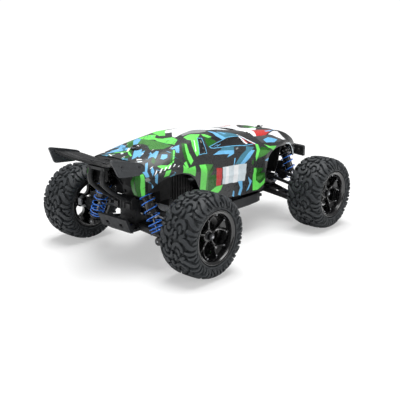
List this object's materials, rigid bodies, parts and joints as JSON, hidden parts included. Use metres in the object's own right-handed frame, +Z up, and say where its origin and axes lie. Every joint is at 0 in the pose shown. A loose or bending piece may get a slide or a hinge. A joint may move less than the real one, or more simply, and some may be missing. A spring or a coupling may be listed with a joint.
{
  "type": "radio-controlled monster truck",
  "caption": "Four-wheel-drive radio-controlled monster truck with a painted pickup body shell, rear wing, chunky tyres, working steering and sprung suspension.",
  "frame": {"origin": "on the ground under the middle of the truck's bounding box", "axes": "+X to the front of the truck, +Y to its left, +Z up; wheels stand on z = 0"},
  "size_m": [0.302, 0.201, 0.1099],
  "materials": {
    "shell_paint": "thin clear plastic shell painted in gloss bright green with darker green, sky blue, white and red shapes",
    "tyre_rubber": "matt charcoal rubber",
    "rim_gloss_black": "gloss black",
    "chassis_plastic": "satin moulded black plastic",
    "wing_plastic": "satin black plastic",
    "spring_blue": "blue coated steel wire",
    "shock_black": "semi-gloss black plastic",
    "steel": "bright steel",
    "motor_can": "bright metal can",
    "battery_wrap": "blue shrink wrap",
    "servo_case": "satin black plastic"
  },
  "bodies": {
    "chassis": {"chassis_tray": "chassis_plastic", "front_gearbox": "chassis_plastic", "rear_gearbox": "chassis_plastic", "front_shock_tower": "chassis_plastic", "rear_shock_tower": "chassis_plastic", "front_bumper": "chassis_plastic", "rear_bumper": "chassis_plastic", "battery_pack": "battery_wrap", "control_unit": "servo_case", "steering_servo": "servo_case", "drive_motor": "motor_can", "rear_wing": "wing_plastic", "wing_mount": "wing_plastic", "body_shell": "shell_paint"},
    "front_left_arm_body": {"front_left_lower_arm": "chassis_plastic"},
    "front_left_link_body": {"front_left_upper_link": "chassis_plastic"},
    "front_left_carrier_body": {"front_left_hub_carrier": "chassis_plastic"},
    "front_left_dogbone_body": {"front_left_dogbone": "steel"},
    "front_left_shock_body_body": {"front_left_shock_body": "shock_black", "front_left_spring": "spring_blue"},
    "front_left_shock_shaft_body": {"front_left_shock_shaft": "steel"},
    "front_left_wheel_body": {"front_left_rim": "rim_gloss_black", "front_left_tyre": "tyre_rubber"},
    "front_left_knuckle_body": {"front_left_knuckle": "chassis_plastic"},
    "front_right_arm_body": {"front_right_lower_arm": "chassis_plastic"},
    "front_right_link_body": {"front_right_upper_link": "chassis_plastic"},
    "front_right_carrier_body": {"front_right_hub_carrier": "chassis_plastic"},
    "front_right_dogbone_body": {"front_right_dogbone": "steel"},
    "front_right_shock_body_body": {"front_right_shock_body": "shock_black", "front_right_spring": "spring_blue"},
    "front_right_shock_shaft_body": {"front_right_shock_shaft": "steel"},
    "front_right_wheel_body": {"front_right_rim": "rim_gloss_black", "front_right_tyre": "tyre_rubber"},
    "front_right_knuckle_body": {"front_right_knuckle": "chassis_plastic"},
    "rear_left_arm_body": {"rear_left_lower_arm": "chassis_plastic"},
    "rear_left_link_body": {"rear_left_upper_link": "chassis_plastic"},
    "rear_left_carrier_body": {"rear_left_hub_carrier": "chassis_plastic"},
    "rear_left_dogbone_body": {"rear_left_dogbone": "steel"},
    "rear_left_shock_body_body": {"rear_left_shock_body": "shock_black", "rear_left_spring": "spring_blue"},
    "rear_left_shock_shaft_body": {"rear_left_shock_shaft": "steel"},
    "rear_left_wheel_body": {"rear_left_rim": "rim_gloss_black", "rear_left_tyre": "tyre_rubber"},
    "rear_right_arm_body": {"rear_right_lower_arm": "chassis_plastic"},
    "rear_right_link_body": {"rear_right_upper_link": "chassis_plastic"},
    "rear_right_carrier_body": {"rear_right_hub_carrier": "chassis_plastic"},
    "rear_right_dogbone_body": {"rear_right_dogbone": "steel"},
    "rear_right_shock_body_body": {"rear_right_shock_body": "shock_black", "rear_right_spring": "spring_blue"},
    "rear_right_shock_shaft_body": {"rear_right_shock_shaft": "steel"},
    "rear_right_wheel_body": {"rear_right_rim": "rim_gloss_black", "rear_right_tyre": "tyre_rubber"},
    "rack_body": {"steering_rack": "chassis_plastic"},
    "horn_body": {"servo_horn": "chassis_plastic"},
    "left_tie_rod_body": {"left_tie_rod": "steel"},
    "right_tie_rod_body": {"right_tie_rod": "steel"},
    "front_differential_body": {"front_differential": "steel"},
    "rear_differential_body": {"rear_differential": "steel"},
    "shaft_body": {"centre_driveshaft": "steel"},
    "pinion_body": {"motor_pinion": "steel"}
  },
  "joints": [
    {"name": "front_left_arm_pivot", "type": "hinge", "parent": "chassis", "child": "front_left_arm_body", "pos_m": [0.101, 0.014, 0.032], "axis": [1, 0, 0], "range_deg": [-10, 15], "stiffness_Nm_per_rad": 0.17, "springref_deg": -11.46},
    {"name": "front_left_link_pivot", "type": "hinge", "parent": "chassis", "child": "front_left_link_body", "pos_m": [0.101, 0.014, 0.0535], "axis": [1, 0, 0], "range_deg": [-10, 15]},
    {"name": "front_left_carrier_pivot", "type": "hinge", "parent": "front_left_arm_body", "child": "front_left_carrier_body", "pos_m": [0.101, 0.052, 0.025], "axis": [1, 0, 0], "range_deg": [-15, 10]},
    {"name": "front_left_dogbone_swing", "type": "hinge", "parent": "chassis", "child": "front_left_dogbone_body", "pos_m": [0.101, 0.022, 0.0445], "axis": [1, 0, 0], "range_deg": [-10, 15]},
    {"name": "front_left_shock_swing", "type": "hinge", "parent": "chassis", "child": "front_left_shock_body_body", "pos_m": [0.115, 0.023, 0.077], "axis": [1, 0, 0], "range_deg": [-3.07, 4.6]},
    {"name": "front_left_shock_stroke", "type": "slide", "parent": "front_left_shock_body_body", "child": "front_left_shock_shaft_body", "axis": [0, 0.4001, -0.9165], "range_m": [-0.00702, 0.00468], "deforming": ["front_left_spring"]},
    {"name": "front_left_kingpin", "type": "hinge", "parent": "front_left_carrier_body", "child": "front_left_knuckle_body", "pos_m": [0.101, 0.06, 0.0375], "axis": [0, 0, 1], "range_deg": [-25, 25]},
    {"name": "front_left_wheel_spin", "type": "hinge", "parent": "front_left_knuckle_body", "child": "front_left_wheel_body", "pos_m": [0.101, 0.081, 0.0375], "axis": [0, 1, 0], "continuous": true},
    {"name": "front_right_arm_pivot", "type": "hinge", "parent": "chassis", "child": "front_right_arm_body", "pos_m": [0.101, -0.014, 0.032], "axis": [-1, 0, 0], "range_deg": [-10, 15], "stiffness_Nm_per_rad": 0.17, "springref_deg": -11.46},
    {"name": "front_right_link_pivot", "type": "hinge", "parent": "chassis", "child": "front_right_link_body", "pos_m": [0.101, -0.014, 0.0535], "axis": [-1, 0, 0], "range_deg": [-10, 15]},
    {"name": "front_right_carrier_pivot", "type": "hinge", "parent": "front_right_arm_body", "child": "front_right_carrier_body", "pos_m": [0.101, -0.052, 0.025], "axis": [-1, 0, 0], "range_deg": [-15, 10]},
    {"name": "front_right_dogbone_swing", "type": "hinge", "parent": "chassis", "child": "front_right_dogbone_body", "pos_m": [0.101, -0.022, 0.0445], "axis": [-1, 0, 0], "range_deg": [-10, 15]},
    {"name": "front_right_shock_swing", "type": "hinge", "parent": "chassis", "child": "front_right_shock_body_body", "pos_m": [0.115, -0.023, 0.077], "axis": [-1, 0, 0], "range_deg": [-3.07, 4.6]},
    {"name": "front_right_shock_stroke", "type": "slide", "parent": "front_right_shock_body_body", "child": "front_right_shock_shaft_body", "axis": [0, -0.4001, -0.9165], "range_m": [-0.00702, 0.00468], "deforming": ["front_right_spring"]},
    {"name": "front_right_kingpin", "type": "hinge", "parent": "front_right_carrier_body", "child": "front_right_knuckle_body", "pos_m": [0.101, -0.06, 0.0375], "axis": [0, 0, 1], "range_deg": [-25, 25]},
    {"name": "front_right_wheel_spin", "type": "hinge", "parent": "front_right_knuckle_body", "child": "front_right_wheel_body", "pos_m": [0.101, -0.081, 0.0375], "axis": [0, 1, 0], "continuous": true},
    {"name": "rear_left_arm_pivot", "type": "hinge", "parent": "chassis", "child": "rear_left_arm_body", "pos_m": [-0.086, 0.014, 0.032], "axis": [1, 0, 0], "range_deg": [-10, 15], "stiffness_Nm_per_rad": 0.17, "springref_deg": -11.46},
    {"name": "rear_left_link_pivot", "type": "hinge", "parent": "chassis", "child": "rear_left_link_body", "pos_m": [-0.086, 0.014, 0.0535], "axis": [1, 0, 0], "range_deg": [-10, 15]},
    {"name": "rear_left_carrier_pivot", "type": "hinge", "parent": "rear_left_arm_body", "child": "rear_left_carrier_body", "pos_m": [-0.086, 0.052, 0.025], "axis": [1, 0, 0], "range_deg": [-15, 10]},
    {"name": "rear_left_dogbone_swing", "type": "hinge", "parent": "chassis", "child": "rear_left_dogbone_body", "pos_m": [-0.086, 0.022, 0.0445], "axis": [1, 0, 0], "range_deg": [-10, 15]},
    {"name": "rear_left_shock_swing", "type": "hinge", "parent": "chassis", "child": "rear_left_shock_body_body", "pos_m": [-0.1, 0.023, 0.077], "axis": [1, 0, 0], "range_deg": [-3.07, 4.6]},
    {"name": "rear_left_shock_stroke", "type": "slide", "parent": "rear_left_shock_body_body", "child": "rear_left_shock_shaft_body", "axis": [0, 0.4001, -0.9165], "range_m": [-0.00702, 0.00468], "deforming": ["rear_left_spring"]},
    {"name": "rear_left_wheel_spin", "type": "hinge", "parent": "rear_left_carrier_body", "child": "rear_left_wheel_body", "pos_m": [-0.086, 0.081, 0.0375], "axis": [0, 1, 0], "continuous": true},
    {"name": "rear_right_arm_pivot", "type": "hinge", "parent": "chassis", "child": "rear_right_arm_body", "pos_m": [-0.086, -0.014, 0.032], "axis": [-1, 0, 0], "range_deg": [-10, 15], "stiffness_Nm_per_rad": 0.17, "springref_deg": -11.46},
    {"name": "rear_right_link_pivot", "type": "hinge", "parent": "chassis", "child": "rear_right_link_body", "pos_m": [-0.086, -0.014, 0.0535], "axis": [-1, 0, 0], "range_deg": [-10, 15]},
    {"name": "rear_right_carrier_pivot", "type": "hinge", "parent": "rear_right_arm_body", "child": "rear_right_carrier_body", "pos_m": [-0.086, -0.052, 0.025], "axis": [-1, 0, 0], "range_deg": [-15, 10]},
    {"name": "rear_right_dogbone_swing", "type": "hinge", "parent": "chassis", "child": "rear_right_dogbone_body", "pos_m": [-0.086, -0.022, 0.0445], "axis": [-1, 0, 0], "range_deg": [-10, 15]},
    {"name": "rear_right_shock_swing", "type": "hinge", "parent": "chassis", "child": "rear_right_shock_body_body", "pos_m": [-0.1, -0.023, 0.077], "axis": [-1, 0, 0], "range_deg": [-3.07, 4.6]},
    {"name": "rear_right_shock_stroke", "type": "slide", "parent": "rear_right_shock_body_body", "child": "rear_right_shock_shaft_body", "axis": [0, -0.4001, -0.9165], "range_m": [-0.00702, 0.00468], "deforming": ["rear_right_spring"]},
    {"name": "rear_right_wheel_spin", "type": "hinge", "parent": "rear_right_carrier_body", "child": "rear_right_wheel_body", "pos_m": [-0.086, -0.081, 0.0375], "axis": [0, 1, 0], "continuous": true},
    {"name": "rack_slide", "type": "slide", "parent": "chassis", "child": "rack_body", "axis": [0, 1, 0], "range_m": [-0.00571, 0.00571]},
    {"name": "servo_horn_turn", "type": "hinge", "parent": "chassis", "child": "horn_body", "pos_m": [0.071, 0.013, 0.0464], "axis": [0, 0, 1], "range_deg": [-27.4, 27.4]},
    {"name": "left_tie_rod_swing", "type": "hinge", "parent": "rack_body", "child": "left_tie_rod_body", "pos_m": [0.0875, 0.022, 0.05], "axis": [1, 0, 0], "range_deg": [-10, 15]},
    {"name": "right_tie_rod_swing", "type": "hinge", "parent": "rack_body", "child": "right_tie_rod_body", "pos_m": [0.0875, -0.022, 0.05], "axis": [-1, 0, 0], "range_deg": [-10, 15]},
    {"name": "front_differential_spin", "type": "hinge", "parent": "chassis", "child": "front_differential_body", "pos_m": [0.101, 0, 0.0445], "axis": [0, 1, 0], "continuous": true},
    {"name": "rear_differential_spin", "type": "hinge", "parent": "chassis", "child": "rear_differential_body", "pos_m": [-0.086, 0, 0.0445], "axis": [0, 1, 0], "continuous": true},
    {"name": "centre_driveshaft_spin", "type": "hinge", "parent": "chassis", "child": "shaft_body", "pos_m": [0, 0, 0.0445], "axis": [1, 0, 0], "continuous": true},
    {"name": "motor_pinion_spin", "type": "hinge", "parent": "chassis", "child": "pinion_body", "pos_m": [-0.048, 0.0153, 0.0445], "axis": [1, 0, 0], "continuous": true}
  ],
  "couplings": [
    {"joint": "front_left_link_pivot", "follows": "front_left_arm_pivot", "ratio": 1},
    {"joint": "front_left_carrier_pivot", "follows": "front_left_arm_pivot", "ratio": -1},
    {"joint": "front_left_dogbone_swing", "follows": "front_left_arm_pivot", "ratio": 1},
    {"joint": "front_left_shock_swing", "follows": "front_left_arm_pivot", "ratio": 0.3068},
    {"joint": "front_left_shock_stroke", "follows": "front_left_arm_pivot", "m_per_rad": -0.02681},
    {"joint": "front_right_link_pivot", "follows": "front_right_arm_pivot", "ratio": 1},
    {"joint": "front_right_carrier_pivot", "follows": "front_right_arm_pivot", "ratio": -1},
    {"joint": "front_right_dogbone_swing", "follows": "front_right_arm_pivot", "ratio": 1},
    {"joint": "front_right_shock_swing", "follows": "front_right_arm_pivot", "ratio": 0.3068},
    {"joint": "front_right_shock_stroke", "follows": "front_right_arm_pivot", "m_per_rad": -0.02681},
    {"joint": "rear_left_link_pivot", "follows": "rear_left_arm_pivot", "ratio": 1},
    {"joint": "rear_left_carrier_pivot", "follows": "rear_left_arm_pivot", "ratio": -1},
    {"joint": "rear_left_dogbone_swing", "follows": "rear_left_arm_pivot", "ratio": 1},
    {"joint": "rear_left_shock_swing", "follows": "rear_left_arm_pivot", "ratio": 0.3068},
    {"joint": "rear_left_shock_stroke", "follows": "rear_left_arm_pivot", "m_per_rad": -0.02681},
    {"joint": "rear_right_link_pivot", "follows": "rear_right_arm_pivot", "ratio": 1},
    {"joint": "rear_right_carrier_pivot", "follows": "rear_right_arm_pivot", "ratio": -1},
    {"joint": "rear_right_dogbone_swing", "follows": "rear_right_arm_pivot", "ratio": 1},
    {"joint": "rear_right_shock_swing", "follows": "rear_right_arm_pivot", "ratio": 0.3068},
    {"joint": "rear_right_shock_stroke", "follows": "rear_right_arm_pivot", "m_per_rad": -0.02681},
    {"joint": "front_right_kingpin", "follows": "front_left_kingpin", "ratio": 1},
    {"joint": "rack_slide", "follows": "front_left_kingpin", "m_per_rad": -0.01308},
    {"joint": "servo_horn_turn", "follows": "front_left_kingpin", "ratio": -1.096},
    {"joint": "left_tie_rod_swing", "follows": "front_left_arm_pivot", "ratio": 1},
    {"joint": "right_tie_rod_swing", "follows": "front_right_arm_pivot", "ratio": 1},
    {"joint": "rear_right_wheel_spin", "follows": "rear_left_wheel_spin", "ratio": 1},
    {"joint": "front_left_wheel_spin", "follows": "rear_left_wheel_spin", "ratio": 1},
    {"joint": "front_right_wheel_spin", "follows": "rear_left_wheel_spin", "ratio": 1},
    {"joint": "front_differential_spin", "follows": "rear_left_wheel_spin", "ratio": 1},
    {"joint": "rear_differential_spin", "follows": "rear_left_wheel_spin", "ratio": 1},
    {"joint": "centre_driveshaft_spin", "follows": "rear_left_wheel_spin", "ratio": 2.7},
    {"joint": "motor_pinion_spin", "follows": "rear_left_wheel_spin", "ratio": -7.425}
  ]
}
